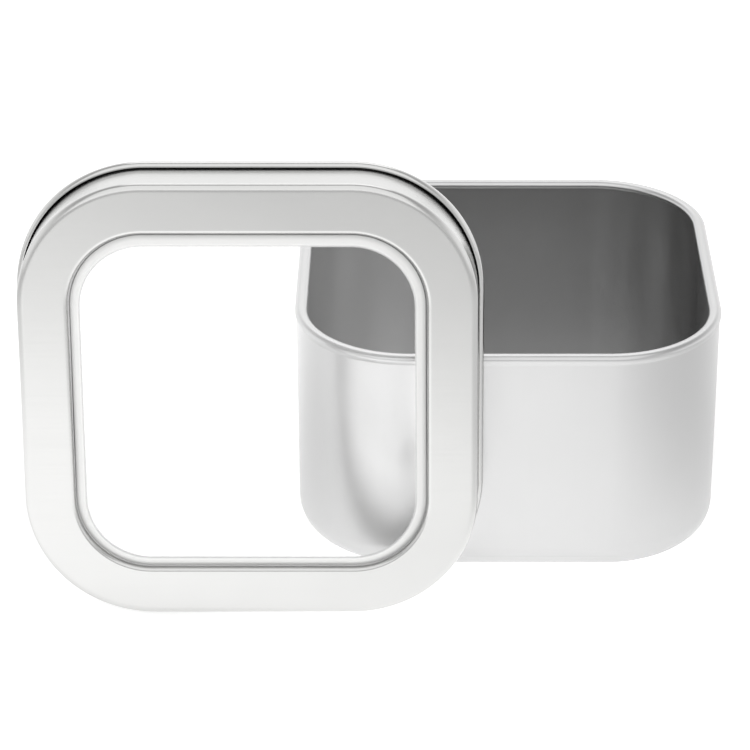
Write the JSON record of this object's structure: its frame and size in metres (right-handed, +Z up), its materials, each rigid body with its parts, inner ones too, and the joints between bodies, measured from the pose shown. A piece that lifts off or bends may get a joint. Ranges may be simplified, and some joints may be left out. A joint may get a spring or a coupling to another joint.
{
  "type": "window tin",
  "caption": "Small square tin with rounded corners and a rolled rim, and a slip-on lid with a clear window, shown open with the lid leaning on its front.",
  "frame": {"origin": "centre of the underside of the tin, on the surface it stands on", "axes": "+Z up out of the tin's open mouth, -Y towards the front, where the lid leans"},
  "size_m": [0.0971, 0.0738, 0.0627],
  "materials": {
    "drawn_tinplate": "satin tinplate, drawn",
    "pressed_tinplate": "satin tinplate, pressed",
    "clear_film": "clear thermoformed film"
  },
  "bodies": {
    "tin": {"tin_body": "drawn_tinplate"},
    "lid": {"lid_shell": "pressed_tinplate", "window_insert": "clear_film"}
  },
  "joints": [
    {"name": "lid_lift", "type": "slide", "parent": "tin", "child": "lid", "axis": [0, 0, 1], "range_m": [0, 0.08]}
  ]
}
